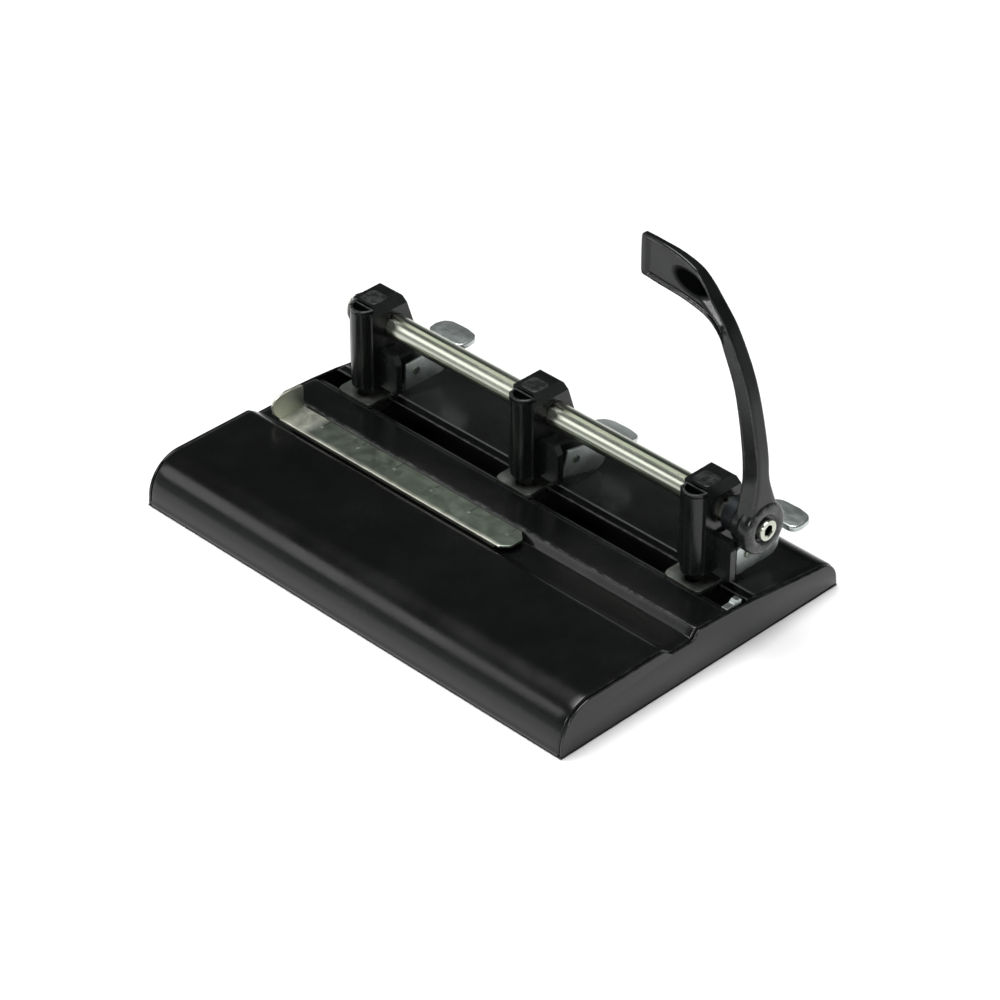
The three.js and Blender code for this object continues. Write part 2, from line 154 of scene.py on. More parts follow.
# %% Lines with rounded corners
def fillet(corners, radii, steps=7, closed=False):
    """Each corner gives way to an arc of its radius: the arc starts and ends r * tan(turn / 2)
    before and after the corner, and its centre lies on the corner's bisector."""
    pts = np.asarray(corners, float)
    n = len(pts)
    radii = np.broadcast_to(radii, (n,))
    out = []
    for k in range(n):
        if radii[k] <= 0 or (not closed and k in (0, n - 1)):
            out.append(pts[k][None])
            continue
        u = pts[k - 1] - pts[k]
        v = pts[(k + 1) % n] - pts[k]
        lu, lv = np.linalg.norm(u), np.linalg.norm(v)
        u, v = u / lu, v / lv
        half = math.acos(np.clip(u @ v, -1, 1)) / 2
        if half > math.radians(89):
            out.append(pts[k][None])
            continue
        cut = min(radii[k] / math.tan(half), 0.48 * lu, 0.48 * lv)
        r = cut * math.tan(half)
        mid = (u + v) / np.linalg.norm(u + v)
        centre = pts[k] + mid * r / math.sin(half)
        a, b = pts[k] + u * cut - centre, pts[k] + v * cut - centre
        t = np.linspace(0, 1, steps)[:, None]
        omega = math.acos(np.clip(a @ b / (r * r), -1, 1))
        bow = (np.sin((1 - t) * omega) * a + np.sin(t * omega) * b) / math.sin(omega)
        out.append(centre + bow)
    return np.concatenate(out)


def arc(centre, radii, start, end, steps=14):
    """Points of an ellipse about centre, from one angle to another in degrees."""
    t = np.radians(np.linspace(start, end, steps))
    return np.stack([centre[0] + radii[0] * np.cos(t), centre[1] + radii[1] * np.sin(t)], axis=1)


def normals_2d(line, closed=False):
    """The direction a quarter turn left of the line's travel, at each point, from its neighbours."""
    if closed:
        along = np.roll(line, -1, 0) - np.roll(line, 1, 0)
    else:
        along = np.gradient(line, axis=0)
    along /= np.maximum(np.linalg.norm(along, axis=1), 1e-9)[:, None]
    return np.stack([-along[:, 1], along[:, 0]], axis=1)


def densify(line, longest):
    """Adds points so that no step is longer than longest, by spreading them along each step."""
    gaps = np.linalg.norm(np.diff(line, axis=0), axis=1)
    parts = []
    for a, b, gap in zip(line[:-1], line[1:], gaps):
        t = np.linspace(0, 1, max(1, math.ceil(gap / longest)), endpoint=False)
        parts.append(a + (b - a) * t[:, None])
    return np.concatenate(parts + [line[-1:]])


def area_2d(line):
    """The shoelace sum: positive when the outline runs anticlockwise."""
    x, y = line.T
    return 0.5 * float(np.sum(x * np.roll(y, -1) - np.roll(x, -1) * y))


# %% [markdown]
# Two more shapes come back all the time: a flat blank with a rounded rim, and a profile turned in
# a lathe. A blank could be a box with a bevel, but most outlines here aren't boxes, so the rim is
# made of a few rings that are drawn in along the outline's own normals.

# %% Flat plates and turned parts
ORDER = {"X": [2, 0, 1], "Z": [0, 1, 2]}  # which of (across, up, depth) become x, y, z


def plate(outline, low, high, edge, axis, steps=5):
    """A plate whose rim is rounded: its outline is drawn in by r (1 - sin t) while its depth
    moves by r (1 - cos t), t from 0 to 90 degrees at either face."""
    line = np.asarray(outline, float)
    if area_2d(line) < 0:
        line = line[::-1]
    inward = normals_2d(line, closed=True)
    t = np.linspace(0, math.pi / 2, steps)
    inset = np.concatenate([edge * (1 - np.sin(t)), edge * (1 - np.sin(t[::-1]))])
    depth = np.concatenate([low + edge * (1 - np.cos(t)), high - edge * (1 - np.cos(t[::-1]))])
    flat = line[None] + inward[None] * inset[:, None, None]
    full = np.concatenate([flat, np.broadcast_to(depth[:, None, None], flat[..., :1].shape)], -1)
    return loft(full[..., ORDER[axis]])


def turned(profile, centre, sides):
    """A profile of (x, radius) points spun round an axis along X: y = r cos a, z = r sin a."""
    profile = np.asarray(profile, float)
    a = np.linspace(0, 2 * math.pi, sides, endpoint=False)
    x = np.broadcast_to(profile[:, :1], (len(profile), sides))
    y = centre[0] + profile[:, 1:] * np.cos(a)
    z = centre[1] + profile[:, 1:] * np.sin(a)
    return loft(np.stack([x, y, z], axis=-1))


print("corner test, mm:", fillet([[0, 0], [10, 0], [10, 10]], 2.0, 3).round(2).tolist())

# %% [markdown]
# ## The base: two pressed sheets
#
# The base is two pieces of pressed steel on a moulded tray. The front cover starts with a rolled
# lip, goes round the nose, runs flat, dips into the valley of the paper guide and climbs to the
# ledge under the punch heads. Such a sheet is one line carried sideways, so we draw the line
# once with true bend radii, carry it along X, and let the sheet roll down over its last
# millimetre at each end, where the real one is wrapped over the end plate. Solidify gives it
# the sheet's thickness.

# %% Sheets carried along X
SHEET = 1.2  # mm
COVER_X = 135.2  # the sheets end here, mm
ROLL = 1.1  # radius of the rolled ends, mm


def sheet(name, line, x_inner, nodes, highlight_line, hole=None):
    """A line (y, z) carried along x. Over the last ROLL mm at each end, a point moves inwards by
    r (1 - cos t) while x advances by r sin t. hole(x, y) marks the faces to leave out."""
    line = np.asarray(line, float)
    t = np.linspace(0, math.pi / 2, 6)
    end_x = COVER_X - ROLL + ROLL * np.sin(t)
    drop = ROLL * (1 - np.cos(t))
    x = np.concatenate([-end_x[::-1], x_inner, end_x])
    fall = np.concatenate([drop[::-1], np.zeros(len(x_inner)), drop])
    inward = -normals_2d(line)
    yz = line[None] + inward[None] * fall[:, None, None]
    grid = np.concatenate([np.broadcast_to(x[:, None, None], yz[..., :1].shape), yz], -1)
    m, n = grid.shape[:2]
    i, j = np.meshgrid(np.arange(m - 1), np.arange(n - 1), indexing="ij")
    a = i * n + j
    quads = np.stack([a, a + n, a + n + 1, a + 1], axis=-1)
    keep = np.ones(quads.shape[:2], bool)
    if hole is not None:
        keep = ~hole((x[:-1] + x[1:])[:, None] / 2, (line[:-1, 0] + line[1:, 0])[None] / 2)
    # Painted highlight: the rolled ends and the bends marked along the line are painted lighter.
    rim = np.clip(fall / ROLL, 0, 1)[:, None]
    painted_highlight = np.maximum(rim * 0.7, np.asarray(highlight_line)[None]).reshape(-1)
    made = piece(name, grid.reshape(-1, 3), quads[keep].tolist(), "base", nodes, "black_enamel",
                 painted_highlight, smooth=50.0)
    wall = made.modifiers.new("sheet", "SOLIDIFY")
    wall.thickness, wall.offset = SHEET / 1000, -1.0
    wall.use_even_offset = True


# %% [markdown]
# The front cover's line runs from the lip over the nose and the flat top to the front rail. A painted
# highlight is set along the same line: it peaks on the riser's top bend and on the ledge's edge at the
# front rail, and a weaker one runs along the foot of the lip.

# %% The front cover
nose = arc((20.0, 4.2), (19.4, 20.3), 176, 90, 22)
cover_corners = np.array([[65.3, 24.5], [71, 20.4], [84.4, 20.4], [87.5, 24.4],
                          [107.5, 23.2], [107.7, 21.5], [111, 21.5]])
bend = [5.0, 1.6, 1.0, 1.3, 0.9, 0.4, 0.0]
lip = np.array([[0.05, 0.9], [0.05, 2.0], [0.12, 2.6], [0.4, 3.2]])
run = np.array([[35.0, 24.5], [50.0, 24.5]])
bends = fillet(np.concatenate([run[-1:], cover_corners]), [0.0] + bend, 7)
floor_marks = np.array([[77.0, 20.4], [80.6, 20.4]])  # the clip slots' edges in the valley
split = int(np.searchsorted(bends[:, 0], 77.0))
cover_line = np.concatenate([lip, nose, run[:1], bends[:split], floor_marks, bends[split:]])
cover_line = densify(cover_line, 1.5)
cover_highlight = 0.9 * np.exp(-((cover_line[:, 0] - 87.7) / 0.5) ** 2)
cover_highlight += 0.7 * np.exp(-((cover_line[:, 0] - 107.3) / 0.4) ** 2)
cover_highlight += 0.25 * (cover_line[:, 1] < 1.6) * (cover_line[:, 0] < 1)

SLOTS = [(-110.0, -72.0), (-25.0, 13.0)]  # where the guide's clips slide
slot_edges = [e for s in SLOTS for e in s]
cover_x = np.unique(np.concatenate([np.linspace(-130, 130, 53), slot_edges]))


def in_slot(x, y):
    """True between both pairs of slot edges, across x and y."""
    across = np.zeros_like(x, bool)
    for a, b in SLOTS:
        across |= (x > a) & (x < b)
    return across & (y > 77.0) & (y < 80.6)


sheet("front_cover_sheet", cover_line, cover_x, ["front_cover"], cover_highlight, in_slot)

# %% [markdown]
# The rear deck closes the base behind the heads. It starts at the rear rail, slopes down by a few
# millimetres and ends in a quarter-round back edge.

# %% The rear deck
rear_corners = np.array([[122, 22], [126.5, 22], [128.5, 21.3], [170, 16]])
rear_bends = fillet(rear_corners, [0, 1.5, 2.0, 0], 6)
rear_line = np.concatenate([rear_bends, arc((171.0, 4.0), (12.0, 12.0), 86, 0, 12), [[183, 0.9]]])
rear_line = densify(rear_line, 1.5)
# Painted highlight: the edge at the rear rail is painted lighter, and a weaker band runs along the back's
# foot.
rear_highlight = 0.6 * np.exp(-((rear_line[:, 0] - 122.0) / 0.6) ** 2)
rear_highlight += 0.25 * (rear_line[:, 1] < 1.5)
deck_x = np.linspace(-130, 130, 41)
sheet("rear_deck_sheet", rear_line, deck_x, ["rear_deck"], rear_highlight)

# %% [markdown]
# ## End plates
#
# Each end of the base is closed by a flat plate, blanked to the outline of the two sheets and
# pressed in, so its rim is slightly rounded and catches the light all round. A plate helper
# with a rounded rim gives that in one call; the corners of the outline are filleted first.
# The plate's outer rim is also painted a lighter grey, a painted highlight.

# %% Both end plates
end_nose = arc((20.0, 4.5), (19.4, 19.4), 180, 90, 22)
end_corners = np.array([[65.1, 23.9], [70.7, 19.8], [84.8, 19.8], [87.8, 23.8], [107.5, 22.9],
                        [123, 21.6], [128.4, 20.8], [169.8, 15.4]])
end_radii = [0, 5, 2, 1.4, 1.8, 2, 2, 2, 0]
end_bends = fillet(np.concatenate([[[50.0, 23.9]], end_corners]), end_radii, 7)
end_back = arc((170.9, 4.0), (11.5, 11.5), 87, 0, 12)
end_outline = np.concatenate([[[0.6, 0.9]], end_nose[1:], end_bends, end_back, [[182.3, 0.9]]])
for side, low in (("left", -137.0), ("right", 135.5)):
    pts, faces = plate(end_outline, low, low + 1.5, 0.55, "X")
    # Painted highlight: the outer rim above the foot is painted lighter.
    wear_and_highlight_fac = np.clip((np.abs(pts[:, 0]) - 136.3) / 0.7, 0, 1) * (pts[:, 2] > 2.5) * 0.5
    rim = np.abs(np.abs(pts[:, 0]) - 137.0) > 0.02
    piece(f"end_plate_{side}_pressed", pts, faces, "base", [f"end_plate_{side}"], "black_enamel",
          wear_and_highlight_fac * rim)

# %% [markdown]
# ## The paper guide
#
# The guide is one strip of zinc-plated steel: a flat ruler, a short flange folded down along its
# front, clipped corners at the free end and an upright stop at the other. We carry a bent line
# along X again, but this time the line's front and back edges follow the clipped outline. The
# stop is a flat plate with a rounded rim that stands on the strip's left end.

# %% The guide strip and its stop
GUIDE_X = (-120.5, 33.0)
GUIDE_TOP = 24.4
outline_x = np.array([GUIDE_X[0], 24.0, 27.8, 28.4, 32.0, 32.7, 33.0])
outline_y0 = np.array([69.8, 69.8, 69.8, 70.1, 73.2, 74.2, 75.6])
outline_y1 = np.array([85.6, 85.6, 85.6, 85.3, 82.3, 81.4, 80.2])
gx = np.concatenate([np.linspace(GUIDE_X[0] + 0.6, 24.0, 60), np.linspace(24.4, 33.0, 44)])
y0 = np.interp(gx, outline_x, outline_y0)
y1 = np.interp(gx, outline_x, outline_y1)
flange = 1.7 * np.clip((27.0 - gx) / 1.5, 0, 1)  # how far the front edge is folded down
bend_r = 0.5
t = np.linspace(0, math.pi / 2, 6)
v_front = np.stack([y0, GUIDE_TOP - bend_r - flange], -1)[:, None]
v_bend = np.stack([y0[:, None] + bend_r * (1 - np.cos(t)),
                   np.broadcast_to(GUIDE_TOP - bend_r + bend_r * np.sin(t), (len(gx), len(t)))], -1)
share = np.linspace(0, 1, 9)[1:]
v_top = np.stack([y0[:, None] + bend_r + share * (y1 - y0 - bend_r)[:, None],
                  np.full((len(gx), len(share)), GUIDE_TOP)], -1)
yz = np.concatenate([v_front, v_bend, v_top], axis=1)
grid = np.concatenate([np.broadcast_to(gx[:, None, None], yz[..., :1].shape), yz], -1)
inner = grid.copy()  # the underside: the same line, drawn in by the sheet's thickness
inner[..., 2] -= np.clip((grid[..., 1] - y0[:, None]) / bend_r, 0, 1) * 1.1
inner[..., 1] += np.clip(1 - (grid[..., 1] - y0[:, None]) / bend_r, 0, 1)
strip_rings = np.concatenate([grid, inner[:, ::-1]], axis=1)
strip = loft(strip_rings)
stop_corners = [[69.8, 22.2], [69.8, 24.4], [65.8, 28.7], [65.4, 34], [67.2, 36.2], [70.5, 37.3],
                [77, 37.6], [84.6, 36.9], [85.6, 35.6], [85.6, 23.3]]
stop_line = fillet(stop_corners, [0.2, 0.8, 3, 3, 2, 2, 4, 2, 1, 0.2], 6, closed=True)
stop = plate(stop_line, GUIDE_X[0], GUIDE_X[0] + 1.2, 0.35, "X")
pts, faces = join(strip, stop)
# Painted highlight: a thin line along the strip's front bend is painted near-white.
guide_highlight = np.exp(-((pts[:, 1] - 70.1) / 0.7) ** 2) * (pts[:, 2] > 23.2)
lit_left_end = np.clip((-100.0 - pts[:, 0]) / 5.0, 0, 1)  # painted highlight: the strip's left end is painted lighter
guide_highlight = np.maximum(guide_highlight, lit_left_end * (pts[:, 2] > 24.0))
paper_guide = piece("paper_guide_strip", pts, faces, "guide", ["paper_guide"], "zinc", guide_highlight)

# %% [markdown]
# ## The shaft
#
# A ground steel bar with one keyway milled along it, a chamfer at each end and a groove for the
# retaining ring. Its cross-section is a circle with a square notch, and the chamfers and the
# groove are changes of radius along the bar, so the rings differ only in size.

# %% Keyed shaft
SHAFT_Y, SHAFT_Z, SHAFT_R = 128.0, 60.0, 6.35
KEY_HALF, KEY_DEPTH, KEY_ANGLE = 1.2, 1.7, math.radians(110)


def keyed_ring(x, radius, sides=72):
    """A circle from one edge of the key to the other, then two corners at the key's bottom."""
    edge = math.asin(KEY_HALF / radius)
    a = np.linspace(edge, 2 * math.pi - edge, sides)
    floor = min(SHAFT_R - KEY_DEPTH, radius - 0.02)
    along = np.concatenate([radius * np.cos(a), [floor, floor]])
    side = np.concatenate([radius * np.sin(a), [-KEY_HALF, KEY_HALF]])
    c, s = math.cos(KEY_ANGLE), math.sin(KEY_ANGLE)
    y = SHAFT_Y + along * c - side * s
    z = SHAFT_Z + along * s + side * c
    return np.stack([np.full(len(y), x), y, z], axis=1)


stations = [(-127.2, 5.5), (-127.0, 5.7), (-126.4, 6.3), (-126.3, SHAFT_R), (-125.35, SHAFT_R),
            (-125.3, 5.2), (-123.7, 5.2), (-123.65, SHAFT_R)]
stations += [(x, SHAFT_R) for x in np.linspace(-120, 130, 26)] + [(132.4, SHAFT_R), (133.2, 5.6)]
piece("shaft_ground", *loft([keyed_ring(x, r) for x, r in stations]), "lever", ["shaft"],
      "steel", smooth=25.0)

# %% [markdown]
# At the lever's end of the shaft a turned spacer keeps the last head clear of the hub, and a screw
# holds the hub. At the other end a spring ring sits in the groove. The screw's hexagon socket
# could be cut out with a boolean, but a ring that changes from a circle to a hexagon is cleaner.

# %% Hub spacer, retaining ring and screw
spacer_line = [(119.1, 6.7), (119.1, 8.1), (119.6, 8.6), (125.7, 8.6), (126.2, 8.1), (126.2, 6.7)]
spacer = turned(spacer_line, (SHAFT_Y, SHAFT_Z), 56)
piece("hub_spacer_turned", *spacer, "lever", ["hub_spacer"], "black_oxide", smooth=25.0)

ring_a = np.radians(np.linspace(-68, 248, 60))
outer_r = 7.7 - 0.5 * np.exp(-((ring_a - math.pi / 2) / 0.5) ** 2)
ring_out = np.stack([SHAFT_Y + outer_r * np.cos(ring_a), SHAFT_Z + outer_r * np.sin(ring_a)], 1)
ring_in = np.stack([SHAFT_Y + 5.5 * np.cos(ring_a), SHAFT_Z + 5.5 * np.sin(ring_a)], 1)
ring_line = np.concatenate([ring_out, ring_in[::-1]])
piece("retaining_ring_spring", *plate(ring_line, -125.0, -124.0, 0.15, "X", 3), "lever",
      ["retaining_ring"], "spring_steel")


def socket_screw(x0, x1, radius, socket, depth):
    """A turned head whose last rings change from a circle to a hexagon: r = s cos 30 /
    cos(angle to the nearest flat), so the driver's socket is part of the same skin."""
    a = np.linspace(0, 2 * math.pi, 72, endpoint=False)
    hexa = socket * math.cos(math.pi / 6) / np.cos((a + math.pi / 6) % (math.pi / 3) - math.pi / 6)
    rounds = [(x0, 2.0), (x0 + 13.0, 2.0), (x0 + 13.05, radius - 0.1), (x0 + 13.2, radius),
              (x1 - 0.6, radius), (x1 - 0.2, radius - 0.2), (x1, radius - 0.7)]
    rings = [(x, np.full(72, r)) for x, r in rounds]
    rings += [(x1, hexa + 0.55), (x1 - 0.35, hexa + 0.05), (x1 - depth, hexa), (x1 - depth, hexa * 0.1)]
    out = [np.stack([np.full(72, x), SHAFT_Y + r * np.cos(a), SHAFT_Z + r * np.sin(a)], 1)
           for x, r in rings]
    return loft(out)


pts, faces = socket_screw(124.9, 140.9, 5.2, 2.8, 3.4)
from_axis = np.hypot(pts[:, 1] - SHAFT_Y, pts[:, 2] - SHAFT_Z)
# The socket's inside is marked for painted shade, painted nearly black in the steel.
in_socket = ((pts[:, 0] > 135.0) & (pts[:, 0] < 140.4) & (from_axis < 3.4)) * 1.0
piece("hub_screw_socket", pts, faces, "lever", ["hub_screw"], "steel", smooth=30.0, matt=in_socket)

# %% [markdown]
# ## The hand lever
#
# The lever is a die casting: a plate-like arm that rises from the hub, bends in over the heads
# and ends in a flat grip with a raised rim round a shallow recess. It could be modelled from
# a box with many cuts, but a casting has no sharp lines, so we let two smooth curves run along
# its outer and inner edge and carry a rounded section between them. Where the arm meets the hub
# the section grows thicker, which is the flare that a pattern maker adds for strength.

# %% Smooth curves through points
def smooth_curve(points, count):
    """A Catmull-Rom curve: between two points, a cubic whose slopes come from their neighbours,
    sampled at equal steps of length."""
    p = np.asarray(points, float)
    p = np.concatenate([2 * p[:1] - p[1:2], p, 2 * p[-1:] - p[-2:-1]])
    t = np.linspace(0, 1, 24, endpoint=False)[None, :, None]
    a, b, c, d = p[:-3, None], p[1:-2, None], p[2:-1, None], p[3:, None]
    curve = 0.5 * ((2 * b) + (c - a) * t + (2 * a - 5 * b + 4 * c - d) * t ** 2
                   + (3 * b - a - 3 * c + d) * t ** 3)
    curve = np.concatenate([curve.reshape(-1, p.shape[1]), p[-2:-1]])
    length = np.concatenate([[0], np.cumsum(np.linalg.norm(np.diff(curve, axis=0), axis=1))])
    s = np.linspace(0, length[-1], count)
    return np.stack([np.interp(s, length, curve[:, k]) for k in range(p.shape[1])], 1)


def step(x, a, b):
    """0 before a, 1 after b, and a smooth s-curve 3 t^2 - 2 t^3 between them."""
    t = np.clip((x - a) / (b - a), 0, 1)
    return t * t * (3 - 2 * t)


# %% [markdown]
# The arm and the grip are one loft. Its section is a rounded rectangle, and the recess, the oval
# pocket and the ramp at the inner bend are depths taken away from the face towards the user,
# each a smooth step of some distance, so no edge of them is sharper than a mould can give.

# %% The arm and grip
OUTER = [[138.6, 60.5], [138.3, 72], [137.9, 82.2], [136.9, 97.4], [133.6, 114.1], [129.6, 128.5],
         [124.4, 141.2], [116, 155.9], [107.8, 165.6], [103, 172], [98.8, 176.4], [95, 179.0],
         [88, 181.6], [80.6, 183.1], [72.9, 183.8], [63.8, 183.95]]
INNER = [[127.5, 60.5], [127.6, 72], [127.4, 84], [126.6, 96.7], [123.9, 113.8], [120.1, 129.6],
         [113.9, 144.2], [111.6, 149.4], [108.2, 153.4], [103.4, 156.8], [97, 158.8],
         [87.1, 160.6], [78, 161.4], [70, 162.2], [63.8, 162.9]]
COUNT = 260
outer = smooth_curve(OUTER, COUNT)
inner_edge = smooth_curve(INNER, COUNT)
along = np.linspace(0, 1, COUNT)
# The grip's end: over the last stretch both edges close in on the middle, as a rounded end.
round_off = np.sqrt(np.clip(1 - ((along - 0.991) / 0.009).clip(0, 1) ** 2, 0.0, 1))
shrink = (1 - round_off)[:, None]  # mm drawn in all round at the grip's end
middle = (outer + inner_edge) / 2
toward = (outer - middle) / np.linalg.norm(outer - middle, axis=1)[:, None]
outer = outer - toward * shrink
inner_edge = inner_edge + toward * shrink
half_w = np.linalg.norm(outer - inner_edge, axis=1) / 2
across = (outer - inner_edge) / (2 * half_w)[:, None]

# Half thickness of the arm in front of and behind y 128: thick at the hub, 8 mm above it.
height = (outer[:, 1] + inner_edge[:, 1]) / 2
flare = 1 - step(height, 61, 88)
front_t = 4.9 + 5.0 * flare
back_t = 2.9 + 7.0 * flare
thin = np.clip((107.5 - middle[:, 0]) / 32.0, 0, 1)  # the grip tapers to a 4 mm blade
front_t = front_t - shrink[:, 0] * 0.4
back_t = back_t - 3.95 * thin - shrink[:, 0] * 0.4

# The section: a rounded rectangle, u across from -1 to 1 and v through from -1 to 1.
q = np.linspace(0, 2 * math.pi, 4001)
power = 0.30  # the smaller, the squarer
u = np.sign(np.cos(q)) * np.abs(np.cos(q)) ** power
v = np.sign(np.sin(q)) * np.abs(np.sin(q)) ** power
# Half by length and half by angle, so that flat faces and round corners both get points.
run_length = np.concatenate([[0], np.cumsum(np.hypot(np.diff(u), np.diff(v)))])
spread = run_length / run_length[-1] + q / (2 * math.pi)
even = np.linspace(0, 2, 220, endpoint=False)
u, v = np.interp(even, spread, u), np.interp(even, spread, v)
uu, vv = u[None, :], v[None, :]
centre_y = SHAFT_Y + (back_t - front_t) / 2
half_t = (front_t + back_t) / 2
arm = np.zeros((COUNT, len(u), 3))
arm[..., 0] = middle[:, :1] + across[:, :1] * half_w[:, None] * uu
arm[..., 2] = middle[:, 1:] + across[:, 1:] * half_w[:, None] * uu
arm[..., 1] = centre_y[:, None] + half_t[:, None] * vv
# Recess in the face towards the user, with a rim left proud along both edges, and near the
# bend an oval thumb pocket. The distance to the edge and to the pocket's centre set the depth.
rim_mm = half_w[:, None] * (1 - np.abs(uu))
inside = step(rim_mm, 1.5, 2.1)
in_grip = step(along, 0.60, 0.66)[:, None] * (1 - step(along, 0.972, 0.980))[:, None]
in_arm = step(along, 0.16, 0.24)[:, None] * (1 - step(along, 0.52, 0.60))[:, None]
front_face = step(-vv, 0.80, 0.97)
dx, dz = arm[..., 0] - 92.5, arm[..., 2] - 169.6
turn = math.radians(-14)
pa = (dx * math.cos(turn) + dz * math.sin(turn)) / 11.5
pb = (dz * math.cos(turn) - dx * math.sin(turn)) / 5.6
pocket = 1 - step(np.sqrt(pa ** 2 + pb ** 2), 0.72, 1.08)
depth = inside * (1.5 * in_grip + 0.35 * in_arm) + 0.9 * pocket * inside
arm[..., 1] += front_face * depth
# At the inner bend the recess falls away in a long ramp, which faces up and catches the light.
off = (arm[..., 0] - 105.9) * 0.62 + (arm[..., 2] - 159.8) * 0.78  # mm across the ramp
down = (arm[..., 0] - 105.9) * 0.78 - (arm[..., 2] - 159.8) * 0.62  # mm along it
ramp = step(off, -2.8, 2.6) * step(down, -14, -6) * (1 - step(down, 5, 14))
arm[..., 1] += 3.3 * ramp * np.maximum(inside, (uu < 0) * 1.0) * (1 - vv) / 2
pts_arm, faces_arm = loft(arm)
# The grip's rims are painted lighter: partly rubbed paint, partly a painted highlight of the glints along
# them.
arm_rim_wear_and_highlight = np.exp(-((rim_mm - 1.0) / 0.6) ** 2) * step(-vv, 0.8, 0.9) * (0.35 + 0.5 * in_grip)
arm_rim_wear_and_highlight = np.broadcast_to(arm_rim_wear_and_highlight, (COUNT, len(u))).reshape(-1)
# Painted shade: the oval pocket is painted nearly black.
arm_pocket_shade = (pocket * front_face).reshape(-1)
print("the arm reaches up to", round(float(pts_arm[:, 2].max()), 2), "mm")

# %% [markdown]
# The hub is turned: a narrow boss against the spacer, a wide disc, and a counterbore that the
# screw's head sinks in. Its outer rim is rubbed, like the rim of the grip.

# %% The hub
hub_line = [(126.6, 6.7), (126.6, 9.9), (127.1, 10.5), (128.0, 10.8), (130.6, 11.0), (131.8, 11.7),
            (132.5, 12.6), (133.4, 13.0), (137.4, 13.0), (138.6, 12.5),
            (139.3, 11.6), (139.6, 10.6), (139.6, 8.4), (139.2, 7.4), (138.4, 6.7), (137.7, 6.3),
            (137.6, 4.0), (137.6, 2.4)]
bore = [(133.8, 2.4), (133.8, 6.65)]
hub = turned(hub_line + bore, (SHAFT_Y, SHAFT_Z), 88)
hub_wear = np.clip(hub[0][:, 0] - 138.3, 0, 1)
pts, faces = join((pts_arm, faces_arm), hub)
piece("hand_lever_cast", pts, faces, "lever", ["hand_lever"], "black_cast",
      np.concatenate([arm_rim_wear_and_highlight, hub_wear]), smooth=60.0,
      matt=np.concatenate([arm_pocket_shade, np.zeros(len(hub[0]))]))

# %% [markdown]
# ## Punch heads, dies and lock levers
#
# The heads are zinc castings full of bores and pockets, which the frame already has in the right
# places. What a casting has and the plain frame lacks is a soft edge. So each head is a copy of
# its frame node: the loose triangles are merged, flat faces are joined back into whole faces,
# and a small bevel rounds every edge that is sharper than a bore's facets.

# %% Copies with softened edges
def softened(name, node, body, width, segments=3):
    """A merged copy of a frame node with its flat faces joined and its edges rounded."""
    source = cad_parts[node]
    mesh = source.data.copy()
    mesh.name = name
    mesh.materials.clear()
    work = bmesh.new()
    work.from_mesh(mesh)
    bmesh.ops.remove_doubles(work, verts=work.verts, dist=2e-6)
    bmesh.ops.dissolve_limit(work, angle_limit=math.radians(0.6), verts=work.verts,
                             edges=work.edges, delimit=set())
    work.to_mesh(mesh)
    work.free()
    for layer in [a.name for a in mesh.attributes if a.name in ("sharp_edge", "custom_normal")]:
        mesh.attributes.remove(mesh.attributes[layer])
    mesh.shade_smooth()
    made = bpy.data.objects.new(name, mesh)
    bpy.context.scene.collection.objects.link(made)
    edge = made.modifiers.new("soft edge", "BEVEL")
    edge.width, edge.segments = width / 1000, segments
    edge.limit_method, edge.angle_limit = "ANGLE", math.radians(28)
    edge.use_clamp_overlap = True
    edge.harden_normals = True
    edge.miter_outer = "MITER_ARC"
    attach(made, body)
    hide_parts(node)
    print(f"{name}: {len(mesh.polygons)} faces before its bevel")


for side in HEADS:
    softened(f"head_{side}_cast", f"head_{side}", f"head_{side}", 0.7)
    softened(f"die_plate_{side}_stamped", f"die_plate_{side}", f"head_{side}", 0.35, 2)
softened("rail_stop_bent", "rail_stop", "base", 0.3, 2)

# %% [markdown]
# Each punch guide is closed by a cap with a dished, D-shaped floor, and behind it the casting has
# a raised square pad. The flat side of the D is a circle pressed against a straight line.

# %% Caps over the punch guides, and the pads on the heads
PIN_Y = 115.4


def flattened(radius, cut, z, sides=64):
    """A circle whose far side is pressed flat: y = min(centre + r sin a, cut)."""
    a = np.linspace(0, 2 * math.pi, sides, endpoint=False)
    y = np.minimum(PIN_Y + radius * np.sin(a), cut)
    return np.stack([radius * np.cos(a), y, np.full(sides, z)], 1)


DISH = [(6.3, 116.0, 71.9), (6.45, 116.1, 72.1), (6.45, 116.1, 73.1), (6.3, 116.0, 73.5),
        (6.05, 115.8, 73.6), (5.5, 115.5, 73.6), (5.2, 115.3, 73.4), (5.05, 115.2, 72.5),
        (4.8, 115.0, 72.25), (0.4, 114.0, 72.25)]
dish = loft([flattened(*ring) for ring in DISH])
pad_corners = [[-5.6, 117.6], [5.0, 117.6], [5.0, 127.8], [-5.6, 127.8]]
head_pad = plate(fillet(pad_corners, 2.4, 8, closed=True), 74.2, 74.85, 0.35, "Z")
# The dish's floor is painted as shade, its rim gets a painted highlight, and the pad's top is painted a
# little lighter.
in_dish = (dish[0][:, 2] < 73.3) & (np.hypot(dish[0][:, 0], dish[0][:, 1] - PIN_Y) < 5.15)
cap_dish_shade = np.concatenate([in_dish * 1.0, np.zeros(len(head_pad[0]))])
cap_lightening = np.concatenate([0.8 * (dish[0][:, 2] > 73.45), 0.45 * (head_pad[0][:, 2] > 74.6)])
for side, x in HEADS.items():
    pts, faces = join(dish, head_pad)
    piece(f"guide_cap_{side}_dished", pts + np.array([x, 0, 0]), faces, f"head_{side}",
          [f"guide_cap_{side}"], "black_cast", cap_lightening, matt=cap_dish_shade)

# %% [markdown]
# A lock lever is a pressed cheek with a thumb tab. The tab is thicker, has a well-rounded rim and
# a slight hollow for the thumb. The middle one stands tilted, so all its points are turned about
# the pivot's axis.

